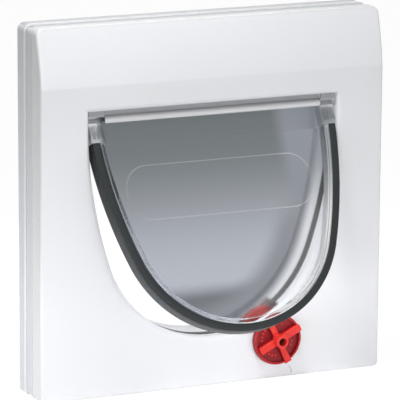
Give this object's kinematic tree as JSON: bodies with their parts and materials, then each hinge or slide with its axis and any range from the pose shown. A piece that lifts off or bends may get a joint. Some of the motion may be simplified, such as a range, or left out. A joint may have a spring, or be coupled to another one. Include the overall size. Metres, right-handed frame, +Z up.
{
  "type": "cat flap",
  "caption": "Cat flap for a door: square white frame with a hooded fascia, a clear swinging flap with a rubber edge, and a red dial that locks it.",
  "frame": {"origin": "middle of the bottom edge, on the plane that lies against the face of the door", "axes": "+X to the right seen from the front, +Y through the door to its other side, +Z up"},
  "size_m": [0.241, 0.0965, 0.24],
  "materials": {
    "white_plastic": "white moulded plastic, glossy",
    "clear_plastic": "clear plastic with a grey smoke tint, polished",
    "dark_rubber": "dark grey flexible rubber, satin",
    "red_plastic": "red moulded plastic, glossy",
    "steel": "plain steel",
    "black_steel": "steel with a black coat"
  },
  "bodies": {
    "frame": {"front_fascia": "white_plastic", "inner_frame": "white_plastic", "outer_frame": "white_plastic", "hinge_cover": "white_plastic", "hinge_pin_left": "steel", "hinge_pin_right": "steel", "opening_seal_left": "dark_rubber", "opening_seal_right": "dark_rubber", "click_spring": "steel", "fixing_screw_1": "steel", "fixing_screw_2": "steel", "fixing_screw_3": "steel", "fixing_screw_4": "steel"},
    "flap": {"flap_panel": "clear_plastic", "flap_seal": "dark_rubber"},
    "lock": {"lock_dial": "red_plastic", "lock_cam": "red_plastic", "lock_screw": "black_steel"}
  },
  "joints": [
    {"name": "flap_swing", "type": "hinge", "parent": "frame", "child": "flap", "pos_m": [0, -0.0159, 0.178], "axis": [-1, 0, 0], "range_deg": [-105, 54]},
    {"name": "lock_turn", "type": "hinge", "parent": "frame", "child": "lock", "pos_m": [0.04466, -0.026, 0.0264], "axis": [0, -1, 0], "continuous": true}
  ]
}
